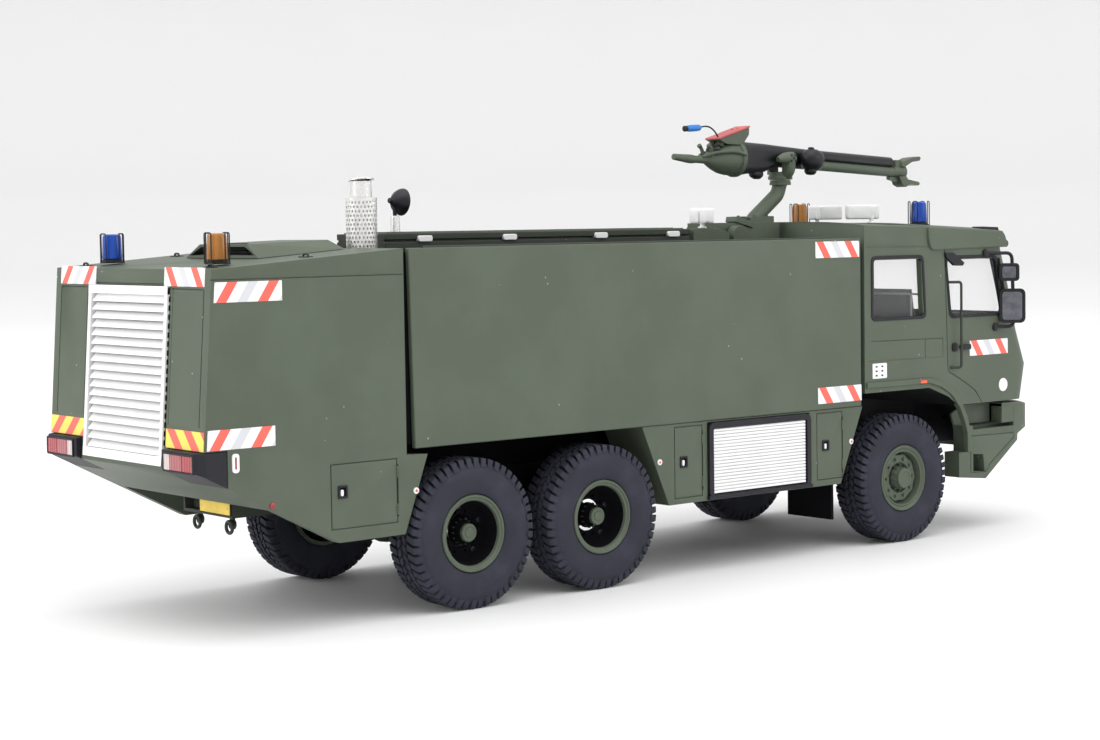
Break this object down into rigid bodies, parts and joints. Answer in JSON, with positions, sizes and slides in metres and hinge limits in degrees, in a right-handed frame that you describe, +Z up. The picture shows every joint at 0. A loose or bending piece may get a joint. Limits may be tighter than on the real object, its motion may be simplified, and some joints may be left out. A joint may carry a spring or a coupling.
{
  "type": "scale model of an airport fire truck",
  "caption": "Small display model of a six-wheeled airport crash tender: crew cab, tank body with flat side panels, louvred engine tail, rolling wheels and a roof monitor that turns and tilts.",
  "frame": {"origin": "on the floor under the middle of the model's box", "axes": "-Y forward, +X to the vehicle's left, +Z up"},
  "size_m": [0.0338, 0.115, 0.0475],
  "materials": {
    "olive_paint": "satin olive-green paint on resin",
    "tyre": "matt dark grey rubber",
    "steel": "plain axle rod",
    "black_plastic": "satin black plastic",
    "white_enamel": "white enamel on etched metal",
    "silver_metal": "bright perforated metal",
    "clear_glazing": "clear moulded glazing",
    "grey_interior": "matt grey moulding",
    "blue_lens": "clear blue plastic lens",
    "amber_lens": "clear amber plastic lens",
    "red_enamel": "faded red paint"
  },
  "bodies": {
    "root": {"body_core": "olive_paint", "cab_beacon_amber": "amber_lens", "cab_beacon_blue": "blue_lens", "cab_glazing": "clear_glazing", "cab_interior": "grey_interior", "cab_shell": "olive_paint", "cab_work_lamp_left": "white_enamel", "cab_work_lamp_right": "white_enamel", "chassis_frame": "black_plastic", "deck_work_lamp": "white_enamel", "door_mirror_left": "black_plastic", "door_mirror_right": "black_plastic", "exhaust_pipe": "silver_metal", "exhaust_shield": "silver_metal", "front_axle_housing": "olive_paint", "front_bumper": "olive_paint", "front_mudflap_left": "black_plastic", "front_mudflap_right": "black_plastic", "grab_rail_left": "olive_paint", "grab_rail_right": "olive_paint", "intake_hatch": "olive_paint", "mid_locker_left": "olive_paint", "mid_locker_right": "olive_paint", "monitor_riser": "olive_paint", "rear_1_axle_housing": "olive_paint", "rear_2_axle_housing": "olive_paint", "rear_beacon_amber": "amber_lens", "rear_beacon_blue": "blue_lens", "rear_body": "olive_paint", "rear_grille": "white_enamel", "roller_shutter_left": "white_enamel", "roller_shutter_right": "white_enamel", "roof_walkway": "olive_paint", "searchlight": "black_plastic", "side_panel_left": "olive_paint", "side_panel_right": "olive_paint", "steering_wheel": "black_plastic", "tail_lamp_left": "black_plastic", "tail_lamp_right": "black_plastic", "tow_bracket": "black_plastic"},
    "front_wheelset": {"front_axle_rod": "steel", "front_rim_left": "olive_paint", "front_rim_right": "olive_paint", "front_tyre_left": "tyre", "front_tyre_right": "tyre"},
    "rear_1_wheelset": {"rear_1_axle_rod": "steel", "rear_1_rim_left": "olive_paint", "rear_1_rim_right": "olive_paint", "rear_1_tyre_left": "tyre", "rear_1_tyre_right": "tyre"},
    "rear_2_wheelset": {"rear_2_axle_rod": "steel", "rear_2_rim_left": "olive_paint", "rear_2_rim_right": "olive_paint", "rear_2_tyre_left": "tyre", "rear_2_tyre_right": "tyre"},
    "monitor_swivel": {"monitor_turret": "olive_paint"},
    "monitor_tilt": {"monitor_barrel": "olive_paint", "monitor_control_box": "red_enamel", "monitor_spotlight": "black_plastic"}
  },
  "joints": [
    {"name": "front_wheels_roll", "type": "hinge", "parent": "root", "child": "front_wheelset", "pos_m": [0, -0.03351, 0.00724], "axis": [1, 0, 0], "continuous": true},
    {"name": "rear_1_wheels_roll", "type": "hinge", "parent": "root", "child": "rear_1_wheelset", "pos_m": [0, 0.01168, 0.00724], "axis": [1, 0, 0], "continuous": true},
    {"name": "rear_2_wheels_roll", "type": "hinge", "parent": "root", "child": "rear_2_wheelset", "pos_m": [0, 0.0279, 0.00724], "axis": [1, 0, 0], "continuous": true},
    {"name": "monitor_turn", "type": "hinge", "parent": "root", "child": "monitor_swivel", "pos_m": [0, -0.0289, 0.0413], "axis": [0, 0, 1], "range_deg": [-165, 165]},
    {"name": "monitor_pitch", "type": "hinge", "parent": "monitor_swivel", "child": "monitor_tilt", "pos_m": [0, -0.0289, 0.04375], "axis": [-1, 0, 0], "range_deg": [-6, 15]}
  ]
}
